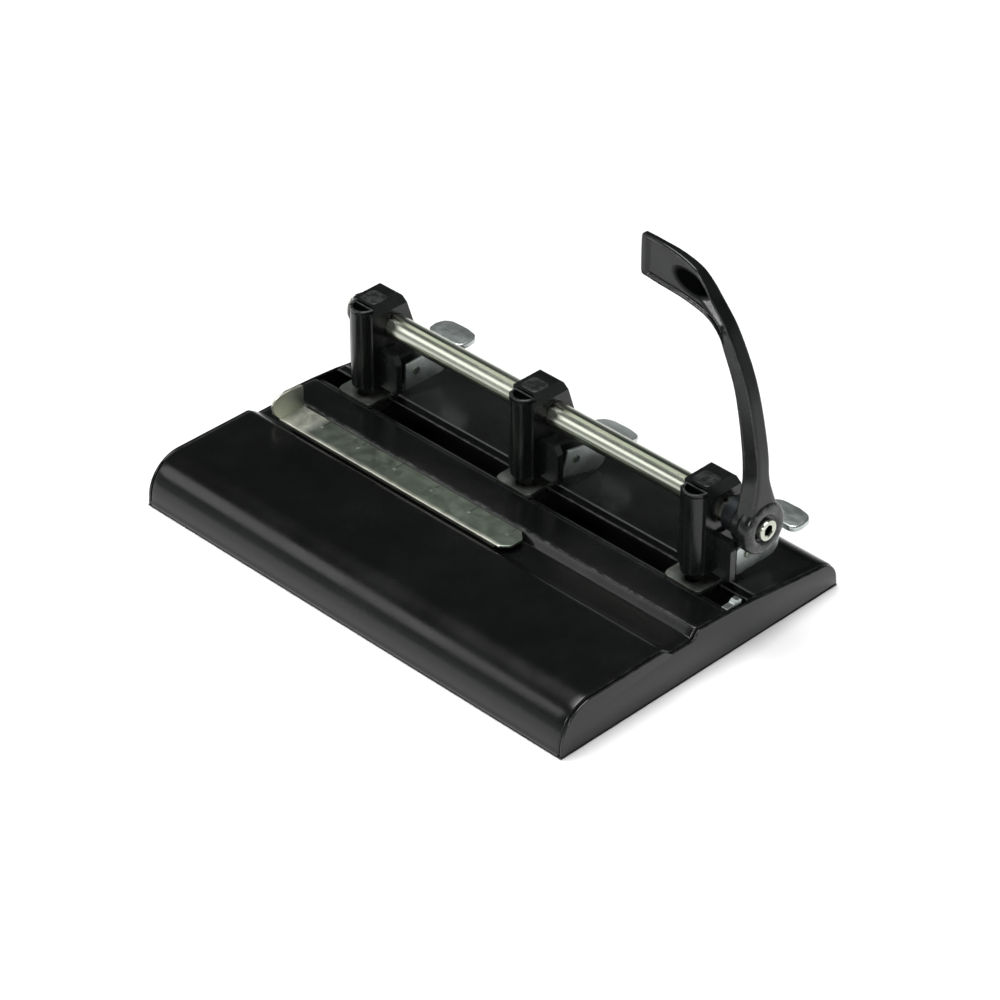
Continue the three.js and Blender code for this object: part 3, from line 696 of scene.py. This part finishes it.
# %% Lock levers
LOCK_Y, LOCK_Z = 138.0, 32.0
side_plate = fillet([[131, 23], [156, 23], [159.4, 26], [161, 38], [160, 41], [156, 40.4],
                     [148, 37.4], [131, 37.4]], [1.5, 3, 3, 1, 0.6, 2, 4, 1.5], 6, closed=True)
thumb = fillet([[-1, 164], [-0.4, 159.4], [2, 157.2], [20, 156.8], [23, 158.6], [23.6, 163],
                [23, 167.6], [20.4, 170.4], [14, 171.6], [4, 171.2], [0.4, 168.6]],
               [4, 3, 3, 3, 3, 4, 4, 4, 6, 6, 4], 6, closed=True)
for side, x in HEADS.items():
    cheek = plate(side_plate, 10.6, 12.1, 0.3, "X")
    pad = plate(thumb, 38.6, 41.8, 0.9, "Z", 6)
    pts, faces = join(cheek, pad)
    hollow = 1 - np.clip(((pts[:, 0] - 11.5) / 11.0) ** 2 + ((pts[:, 1] - 164.2) / 6.6) ** 2, 0, 1)
    pts[:, 2] -= 0.35 * hollow * (pts[:, 2] > 41.7)
    tilt = math.radians(-14.0 if side == "middle" else 0.0)
    y, z = pts[:, 1] - LOCK_Y, pts[:, 2] - LOCK_Z
    turned_y = LOCK_Y + y * math.cos(tilt) - z * math.sin(tilt)
    turned_z = LOCK_Z + y * math.sin(tilt) + z * math.cos(tilt)
    pts = np.stack([pts[:, 0] + x, turned_y, turned_z], 1)
    piece(f"lock_lever_{side}_plated", pts, faces, f"lock_{side}", [f"lock_lever_{side}"], "zinc")

# %% [markdown]
# ## Finishes
#
# Now the finishes. Each one is a small tree of nodes on the object's own coordinates, so its
# grain has a real size. One function turns a given colour to the linear value that the
# shader wants, another turns a size in millimetres to a texture scale, and a third adds a node.

# %% Helpers for materials
def linear(code):
    """An sRGB hex colour to linear light: below 0.04045 divide by 12.92, above it a power."""
    c = np.array([int(code[k:k + 2], 16) for k in (1, 3, 5)]) / 255
    low = c <= 0.04045
    return (*np.where(low, c / 12.92, ((c + 0.055) / 1.055) ** 2.4).tolist(), 1.0)


def per(mm):
    """The texture scale whose pattern repeats about every mm millimetres."""
    return 1000.0 / mm


def add(material, kind, inputs=None, give=0, **settings):
    """Adds one node and gives back one of its outputs. inputs maps a socket's name or number
    to a value or to another node's output."""
    tree = material.node_tree
    made = tree.nodes.new(kind)
    for key, value in settings.items():
        setattr(made, key, value)
    for key, value in (inputs or {}).items():
        if isinstance(value, bpy.types.NodeSocket):
            tree.links.new(value, made.inputs[key])
        else:
            made.inputs[key].default_value = value
    return made.outputs[give] if made.outputs else None


def start(name, **values):
    """A new material with its shader's own sockets set, and its object coordinates."""
    material = bpy.data.materials.new(name)
    material.use_nodes = True
    shader = material.node_tree.nodes["Principled BSDF"]
    for key, value in values.items():
        shader.inputs[key.replace("_", " ")].default_value = value
    return material, shader, add(material, "ShaderNodeTexCoord", give="Object")


def wire(material, source, shader, socket):
    """Joins a node's output to one of the shader's sockets."""
    material.node_tree.links.new(source, shader.inputs[socket])


COLOURS = {"data_type": "RGBA", "give": 2}  # a Mix node blends two colours with these

# %% [markdown]
# ** Stoved enamel** covers the pressed base. It is baked on, so it is hard and half glossy, with
# a faint orange-peel ripple a few millimetres wide. It never dries quite even. On its folds,
# rolled ends and rims it is painted a lighter grey in broken patches, a painted highlight.

# %% Black enamel
enamel, shader, where = start("stoved_black_enamel", Metallic=0.0, IOR=1.5, Specular_IOR_Level=0.42)
cloud = add(enamel, "ShaderNodeTexNoise", {0: where, "Scale": per(70), "Detail": 4, "Roughness": 0.55})
dust = add(enamel, "ShaderNodeTexNoise", {0: where, "Scale": per(1.6), "Detail": 5, "Roughness": 0.7})
patchy = add(enamel, "ShaderNodeTexNoise", {0: where, "Scale": per(5), "Detail": 6, "Roughness": 0.7})
spots = add(enamel, "ShaderNodeMapRange", {0: dust, 1: 0.60, 2: 0.78, 3: 0.0, 4: 0.35})
patches = add(enamel, "ShaderNodeMapRange", {0: patchy, 1: 0.42, 2: 0.62, 3: 0.15, 4: 1.0})
wear_and_highlight_fac = add(enamel, "ShaderNodeAttribute", give="Fac", attribute_name="wear")
wear_and_highlight_amount = add(enamel, "ShaderNodeMath", {0: wear_and_highlight_fac, 1: patches}, operation="MULTIPLY")
base = add(enamel, "ShaderNodeMix", {0: cloud, 6: linear("#070708"), 7: linear("#0d0e0e")}, **COLOURS)
base = add(enamel, "ShaderNodeMix", {0: spots, 6: base, 7: linear("#2a2c2c")}, **COLOURS)
# Painted highlight: the masked edges are painted grey, broken up by patches.
base = add(enamel, "ShaderNodeMix", {0: wear_and_highlight_amount, 6: base, 7: linear("#4a4c4a")}, **COLOURS)
wire(enamel, base, shader, "Base Color")
haze = add(enamel, "ShaderNodeTexNoise", {0: where, "Scale": per(26), "Detail": 5, "Roughness": 0.6})
gloss = add(enamel, "ShaderNodeMapRange", {0: haze, 1: 0.3, 2: 0.7, 3: 0.19, 4: 0.28})
wire(enamel, gloss, shader, "Roughness")
peel = add(enamel, "ShaderNodeTexNoise", {0: where, "Scale": per(2.6), "Detail": 2, "Roughness": 0.5})
ripple = add(enamel, "ShaderNodeBump", {"Height": peel, "Strength": 0.35, "Distance": 0.00006})
wire(enamel, ripple, shader, "Normal")

# %% [markdown]
# ** Painted die casting** is the finish of the lever and the heads: the paint follows the grain
# of the casting, so its highlights are broken up at a one-millimetre scale, and raised edges
# are painted a dull grey, partly rubbed paint and partly painted highlight. The grip's pocket and
# the caps' dished floors are painted as shade that gives back hardly any light. The shader makes
# such a black when it treats it as a black metal, because that takes away the paint's clear reflection.

# %% Black casting
cast, shader, where = start("painted_die_casting", IOR=1.5, Specular_IOR_Level=0.42)
tone = add(cast, "ShaderNodeTexNoise", {0: where, "Scale": per(18), "Detail": 4, "Roughness": 0.5})
patchy = add(cast, "ShaderNodeTexNoise", {0: where, "Scale": per(4), "Detail": 5, "Roughness": 0.7})
patches = add(cast, "ShaderNodeMapRange", {0: patchy, 1: 0.42, 2: 0.62, 3: 0.1, 4: 0.8})
wear_and_highlight_fac = add(cast, "ShaderNodeAttribute", give="Fac", attribute_name="wear")
shade_mask = add(cast, "ShaderNodeAttribute", give="Fac", attribute_name="matt")
wear_and_highlight_amount = add(cast, "ShaderNodeMath", {0: wear_and_highlight_fac, 1: patches}, operation="MULTIPLY")
base = add(cast, "ShaderNodeMix", {0: tone, 6: linear("#0b0c0c"), 7: linear("#171919")}, **COLOURS)
# Rims painted a dull grey: partly rubbed paint, partly painted highlight.
base = add(cast, "ShaderNodeMix", {0: wear_and_highlight_amount, 6: base, 7: linear("#5a5c5a")}, **COLOURS)
# Painted shade: the pocket and the caps' dishes are painted near-black and made a black metal.
base = add(cast, "ShaderNodeMix", {0: shade_mask, 6: base, 7: linear("#050606")}, **COLOURS)
wire(cast, base, shader, "Base Color")
wire(cast, shade_mask, shader, "Metallic")
haze = add(cast, "ShaderNodeTexNoise", {0: where, "Scale": per(9), "Detail": 5, "Roughness": 0.6})
gloss = add(cast, "ShaderNodeMapRange", {0: haze, 1: 0.3, 2: 0.7, 3: 0.18, 4: 0.30})
gloss = add(cast, "ShaderNodeMath", {0: shade_mask, 1: 0.65, 2: gloss}, operation="MULTIPLY_ADD")
wire(cast, gloss, shader, "Roughness")
grain = add(cast, "ShaderNodeTexNoise", {0: where, "Scale": per(0.9), "Detail": 3, "Roughness": 0.6})
swell = add(cast, "ShaderNodeTexNoise", {0: where, "Scale": per(7), "Detail": 2, "Roughness": 0.5})
relief = add(cast, "ShaderNodeMath", {0: swell, 1: 2.5, 2: grain}, operation="MULTIPLY_ADD")
ripple = add(cast, "ShaderNodeBump", {"Height": relief, "Strength": 0.3, "Distance": 0.00004})
wire(cast, ripple, shader, "Normal")

# %% [markdown]
# **Zinc plate** is steel strip with a thin electroplated coat. It is a metal, but a dull and
# cloudy one: faint rolling streaks along the strip, blotches where it has been handled, and a
# greenish grey tone from its passivated skin.

# %% Zinc plate
def zinc_plate(name, dark, light):
    """Zinc plate. Gives the material, its shader, its coordinates and its colour so far."""
    zinc, shader, where = start(name, Metallic=1.0)
    blotch = add(zinc, "ShaderNodeTexNoise", {0: where, "Scale": per(14), "Detail": 5, "Roughness": 0.6})
    clouds = add(zinc, "ShaderNodeMapRange", {0: blotch, 1: 0.3, 2: 0.7, 3: 0.0, 4: 1.0})
    drawn = add(zinc, "ShaderNodeMapping", {"Vector": where, "Scale": (0.04, 1.0, 1.0)})
    streak = add(zinc, "ShaderNodeTexNoise", {0: drawn, "Scale": per(1.2), "Detail": 4, "Roughness": 0.6})
    streaks = add(zinc, "ShaderNodeMapRange", {0: streak, 1: 0.5, 2: 0.75, 3: 0.0, 4: 0.35})
    wear_and_highlight_fac = add(zinc, "ShaderNodeAttribute", give="Fac", attribute_name="wear")
    base = add(zinc, "ShaderNodeMix", {0: clouds, 6: linear(dark), 7: linear(light)}, **COLOURS)
    base = add(zinc, "ShaderNodeMix", {0: streaks, 6: base, 7: linear("#6d746c")}, **COLOURS)
    # Painted highlight: the guide's front bend and left end are painted near-white.
    base = add(zinc, "ShaderNodeMix", {0: wear_and_highlight_fac, 6: base, 7: linear("#dfe1d2")}, **COLOURS)
    wire(zinc, base, shader, "Base Color")
    haze = add(zinc, "ShaderNodeTexNoise", {0: where, "Scale": per(6), "Detail": 5, "Roughness": 0.65})
    gloss = add(zinc, "ShaderNodeMapRange", {0: haze, 1: 0.3, 2: 0.7, 3: 0.33, 4: 0.46})
    wire(zinc, gloss, shader, "Roughness")
    swell = add(zinc, "ShaderNodeTexNoise", {0: where, "Scale": per(2.2), "Detail": 2, "Roughness": 0.5})
    relief = add(zinc, "ShaderNodeMath", {0: streak, 1: swell}, operation="ADD")
    ripple = add(zinc, "ShaderNodeBump", {"Height": relief, "Strength": 0.2, "Distance": 0.00003})
    wire(zinc, ripple, shader, "Normal")
    return zinc, shader, where, base


# The same zinc in two brightnesses: this lighter copy is the plate where it is lit, on the lock levers
# and the rail stop.
zinc = zinc_plate("zinc_plate", "#b0b8b5", "#d2d9d6")[0]
tarnished = zinc_plate("tarnished_zinc_plate", "#5d625d", "#a9aea7")[0]

# %% [markdown]
# The guide also carries ruler marks and a row of punched dots. They could be cut in the mesh, but
# they are shallower than a hair, so colour is enough. Each is drawn from the distance to the
# nearest multiple of a spacing, which the Ping Pong operation gives.

# %% Ruler marks on the guide
# Half the spacing and half the width of the marks, m, and where their front ends lie, mm: short
# marks every 25 mm and long ones every 50 mm.
MARKS = [(0.0125, 0.0005, 82.2), (0.025, 0.0007, 79.8)]
DOT_HALF_SPACE, DOT_Y = 0.0125, 79.2  # half of 25 mm in metres; the dots' line, mm
MARKED_TOP = 0.02435  # marks are only on the strip's top face, above this height
# The guide's copy is painted darker, as painted shade for the strip lying low in the valley.
ruler, shader, where, base = zinc_plate("zinc_plate_with_ruler_marks", "#737d70", "#8e978a")
across = add(ruler, "ShaderNodeSeparateXYZ", {0: where})
_, back, up = across.node.outputs
ticks = 0.0
for half_space, half_width, front_end in MARKS:
    y_low = front_end / 1000 + FRONT
    near = add(ruler, "ShaderNodeMath", {0: across, 1: half_space}, operation="PINGPONG")
    line = add(ruler, "ShaderNodeMath", {0: near, 1: half_width}, operation="LESS_THAN")
    behind = add(ruler, "ShaderNodeMath", {0: back, 1: y_low}, operation="GREATER_THAN")
    mark = add(ruler, "ShaderNodeMath", {0: line, 1: behind}, operation="MULTIPLY")
    ticks = add(ruler, "ShaderNodeMath", {0: ticks, 1: mark}, operation="MAXIMUM")
flat = add(ruler, "ShaderNodeMath", {0: up, 1: MARKED_TOP}, operation="GREATER_THAN")
ticks = add(ruler, "ShaderNodeMath", {0: ticks, 1: flat}, operation="MULTIPLY")
faded = add(ruler, "ShaderNodeMath", {0: ticks, 1: 0.45}, operation="MULTIPLY")
base = add(ruler, "ShaderNodeMix", {0: faded, 6: base, 7: linear("#3a3f3a")}, **COLOURS)
# A pale punched dot every 25 mm along the middle: its distance is that of two offsets together.
near = add(ruler, "ShaderNodeMath", {0: across, 1: DOT_HALF_SPACE}, operation="PINGPONG")
off = add(ruler, "ShaderNodeMath", {0: back, 1: DOT_Y / 1000 + FRONT}, operation="SUBTRACT")
offsets = add(ruler, "ShaderNodeCombineXYZ", {0: near, 1: off})
far = add(ruler, "ShaderNodeVectorMath", {0: offsets}, give="Value", operation="LENGTH")
dots = add(ruler, "ShaderNodeMapRange", {0: far, 1: 0.0007, 2: 0.0010, 3: 0.55, 4: 0.0})
base = add(ruler, "ShaderNodeMix", {0: dots, 6: base, 7: linear("#d2d8cc")}, **COLOURS)
wire(ruler, base, shader, "Base Color")

# %% [markdown]
# ** Ground steel** is the shaft: bright, with the finest turning marks running round it, which
# stretch each highlight into a long clean band. A few handling smears change its gloss, and the
# inside of the screw's socket is painted nearly black, as painted shade. Spring steel is greyer,
# and black oxide is a thin dark skin that still shines like metal.

# %% Steel, spring steel and black oxide
steel, shader, where = start("ground_steel", Metallic=1.0)
drawn = add(steel, "ShaderNodeMapping", {"Vector": where, "Scale": (0.3, 1.0, 1.0)})
smear = add(steel, "ShaderNodeTexNoise", {0: drawn, "Scale": per(22), "Detail": 4, "Roughness": 0.6})
socket_shade = add(steel, "ShaderNodeAttribute", give="Fac", attribute_name="matt")
base = add(steel, "ShaderNodeMix", {0: smear, 6: linear("#b6bbad"), 7: linear("#cfd2c4")}, **COLOURS)
# Painted shade: the socket's inside is painted nearly black.
base = add(steel, "ShaderNodeMix", {0: socket_shade, 6: base, 7: linear("#161816")}, **COLOURS)
wire(steel, base, shader, "Base Color")
gloss = add(steel, "ShaderNodeMapRange", {0: smear, 1: 0.3, 2: 0.7, 3: 0.20, 4: 0.30})
wire(steel, gloss, shader, "Roughness")
# Turning marks are about 0.1 mm apart, drawn at 0.5 mm so that they show.
drawn = add(steel, "ShaderNodeMapping", {"Vector": where, "Scale": (1.0, 0.03, 0.03)})
marks = add(steel, "ShaderNodeTexNoise", {0: drawn, "Scale": per(0.5), "Detail": 2, "Roughness": 0.5})
ripple = add(steel, "ShaderNodeBump", {"Height": marks, "Strength": 0.1, "Distance": 0.00001})
wire(steel, ripple, shader, "Normal")

spring, shader, where = start("spring_steel", Metallic=1.0)
tone = add(spring, "ShaderNodeTexNoise", {0: where, "Scale": per(3), "Detail": 4, "Roughness": 0.6})
base = add(spring, "ShaderNodeMix", {0: tone, 6: linear("#6f7370"), 7: linear("#a0a4a0")}, **COLOURS)
wire(spring, base, shader, "Base Color")
gloss = add(spring, "ShaderNodeMapRange", {0: tone, 1: 0.3, 2: 0.7, 3: 0.28, 4: 0.45})
wire(spring, gloss, shader, "Roughness")

oxide, shader, where = start("black_oxide_steel", Metallic=0.9)
tone = add(oxide, "ShaderNodeTexNoise", {0: where, "Scale": per(2.5), "Detail": 4, "Roughness": 0.6})
base = add(oxide, "ShaderNodeMix", {0: tone, 6: linear("#1c1e1f"), 7: linear("#34383a")}, **COLOURS)
wire(oxide, base, shader, "Base Color")
gloss = add(oxide, "ShaderNodeMapRange", {0: tone, 1: 0.3, 2: 0.7, 3: 0.35, 4: 0.55})
wire(oxide, gloss, shader, "Roughness")

# %% [markdown]
# **Rubber and nylon** are the two plastics. The tray is moulded rubber with a fine matt grain
# and a bloom of pale dust; the guide's clips are moulded nylon, smoother and slightly waxy.

# %% Rubber and nylon
rubber, shader, where = start("moulded_rubber", Metallic=0.0, IOR=1.52)
tone = add(rubber, "ShaderNodeTexNoise", {0: where, "Scale": per(8), "Detail": 5, "Roughness": 0.7})
base = add(rubber, "ShaderNodeMix", {0: tone, 6: linear("#111212"), 7: linear("#252626")}, **COLOURS)
wire(rubber, base, shader, "Base Color")
gloss = add(rubber, "ShaderNodeMapRange", {0: tone, 1: 0.3, 2: 0.7, 3: 0.72, 4: 0.9})
wire(rubber, gloss, shader, "Roughness")
grain = add(rubber, "ShaderNodeTexNoise", {0: where, "Scale": per(0.7), "Detail": 3, "Roughness": 0.6})
ripple = add(rubber, "ShaderNodeBump", {"Height": grain, "Strength": 0.5, "Distance": 0.0001})
wire(rubber, ripple, shader, "Normal")

nylon, shader, where = start("moulded_nylon", Metallic=0.0, IOR=1.53)
tone = add(nylon, "ShaderNodeTexNoise", {0: where, "Scale": per(4), "Detail": 4, "Roughness": 0.6})
base = add(nylon, "ShaderNodeMix", {0: tone, 6: linear("#17181a"), 7: linear("#24262a")}, **COLOURS)
wire(nylon, base, shader, "Base Color")
gloss = add(nylon, "ShaderNodeMapRange", {0: tone, 1: 0.3, 2: 0.7, 3: 0.45, 4: 0.6})
wire(nylon, gloss, shader, "Roughness")

# %% [markdown]
# Now every piece and every frame node gets one of the finishes, by the start of its name. The
# guide gets the zinc with the ruler marks, and the die plates get the tarnished zinc, because
# paper and oil have dulled them.

# %% Give every piece its finish
FINISH = {"black_enamel": enamel, "black_cast": cast, "rubber": rubber, "zinc": zinc, "steel": steel,
          "spring_steel": spring, "black_oxide": oxide, "nylon": nylon}
NODE_SLOT = {"chip_tray": "rubber", "front_cover": "black_enamel", "rear_deck": "black_enamel",
             "end_plate": "black_enamel", "rail_stop": "zinc", "paper_guide": "zinc",
             "guide_clip": "nylon", "shaft": "steel", "retaining_ring": "spring_steel",
             "hub_screw": "steel", "hub_spacer": "black_oxide", "hand_lever": "black_cast",
             "head": "black_cast", "guide_cap": "black_cast", "die_plate": "zinc",
             "punch_pin": "steel", "pin_clip": "spring_steel", "return_spring": "spring_steel",
             "pinion": "black_oxide", "lock_lever": "zinc", "lock_pivot": "steel"}


def slot_of(name):
    """The slot of the longest entry that the name starts with."""
    return NODE_SLOT[max((k for k in NODE_SLOT if name.startswith(k)), key=len)]


for name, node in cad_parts.items():
    for k in range(max(1, len(node.material_slots))):
        if not node.material_slots:
            node.data.materials.append(FINISH[slot_of(name)])
        node.material_slots[k].material = FINISH[slot_of(name)]
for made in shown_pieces():
    if made.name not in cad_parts:
        made.data.materials.clear()
        made.data.materials.append(FINISH[slot_of(made.name)])
paper_guide.data.materials[0] = ruler
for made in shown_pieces():
    if made.name.startswith("die_plate"):
        made.data.materials[0] = tarnished

# %% [markdown]
# ## Light, floor and camera
#
# The punch stands on a plain white floor under one large soft light from above, which keeps the
# floor white and its shadows faint. The room is dim above a bright horizon, so the enamel stays
# deep black and shows only the lights we place: a weak panel at the front left for the rounded
# nose, and a small one in front for the bend of the lever.

# %% Floor and surroundings
def quad(name, corners, material):
    """A flat four-sided stage piece, in metres."""
    mesh = bpy.data.meshes.new(name)
    mesh.from_pydata(corners, [], [(0, 1, 2, 3)])
    made = bpy.data.objects.new(name, mesh)
    bpy.context.scene.collection.objects.link(made)
    made.data.materials.append(material)


paper, shader, where = start("white_paper", Roughness=0.9, Specular_IOR_Level=0.1)
tone = add(paper, "ShaderNodeTexNoise", {0: where, "Scale": per(900), "Detail": 2, "Roughness": 0.5})
base = add(paper, "ShaderNodeMix", {0: tone, 6: linear("#f4f4f4"), 7: linear("#fafafa")}, **COLOURS)
wire(paper, base, shader, "Base Color")
REACH = 4.0
FLOOR_Z = cad_box[0][2] - 0.0003
quad("floor", [(-REACH, -REACH, FLOOR_Z), (REACH, -REACH, FLOOR_Z),
               (REACH, REACH, FLOOR_Z), (-REACH, REACH, FLOOR_Z)], paper)

world = bpy.data.worlds.new("studio")
bpy.context.scene.world = world
world.use_nodes = True
world.node_tree.nodes.clear()
# The white sweep behind the floor fades between these two heights; above it the room is dark.
BRIGHT_BELOW, DARK_ABOVE = math.sin(math.radians(12)), math.sin(math.radians(22))
look = add(world, "ShaderNodeTexCoord", give="Generated")
up = add(world, "ShaderNodeSeparateXYZ", {0: look}, give=2)
glow = add(world, "ShaderNodeMapRange", {0: up, 1: BRIGHT_BELOW, 2: DARK_ABOVE, 3: 0.45, 4: 0.02})
room = add(world, "ShaderNodeBackground", {0: (0.95, 1.0, 0.98, 1), 1: glow})
white = add(world, "ShaderNodeBackground", {0: (1, 1, 1, 1), 1: 1.3})
seen = add(world, "ShaderNodeLightPath", give="Is Camera Ray")
mixed = add(world, "ShaderNodeMixShader", {0: seen, 1: room, 2: white})
add(world, "ShaderNodeOutputWorld", {0: mixed})

# %% [markdown]
# A soft light is a large one, so each panel is given by its two sides in metres as well as by its
# power, and it is turned towards a point that it should light.

# %% Lights
def panel(name, place, aim, width, depth, power):
    """A rectangular soft light at a place in metres, facing a point."""
    data = bpy.data.lights.new(name, "AREA")
    data.shape = "RECTANGLE"
    data.size, data.size_y, data.energy = width, depth, power
    made = bpy.data.objects.new(name, data)
    made.location = place
    made.rotation_euler = (Vector(aim) - Vector(place)).to_track_quat("-Z", "Y").to_euler()
    bpy.context.scene.collection.objects.link(made)


panel("overhead", (-0.15, -0.1, 2.2), (-0.15, -0.1, 0), 1.5, 1.5, 64)
panel("front_left", (-1.25, -1.15, 1.05), (0, 0, 0.05), 0.9, 0.7, 4.5)
panel("front", (0.5, -1.35, 0.91), (0.106, 0.03, 0.16), 0.3, 0.3, 6.0)

# %% [markdown]
# A long lens from about two metres keeps the base's long edges nearly parallel. The camera stands
# at the front right and looks down at 35 degrees.

# %% Camera
lens = bpy.data.cameras.new("camera")
lens.lens, lens.sensor_width = 141.23, 36.0
lens.clip_end = 20.0
DISTANCE = 1.86915  # metres
camera = bpy.data.objects.new("camera", lens)
AIM = Vector((-0.02142, 0.02964, 0.0))
BACK = Vector((0.5792, -0.5798, 0.5731)).normalized()
camera.location = AIM + BACK * DISTANCE
camera.rotation_euler = (-BACK).to_track_quat("-Z", "Y").to_euler()
bpy.context.scene.collection.objects.link(camera)
bpy.context.scene.camera = camera
bpy.context.scene.view_settings.view_transform = "Standard"
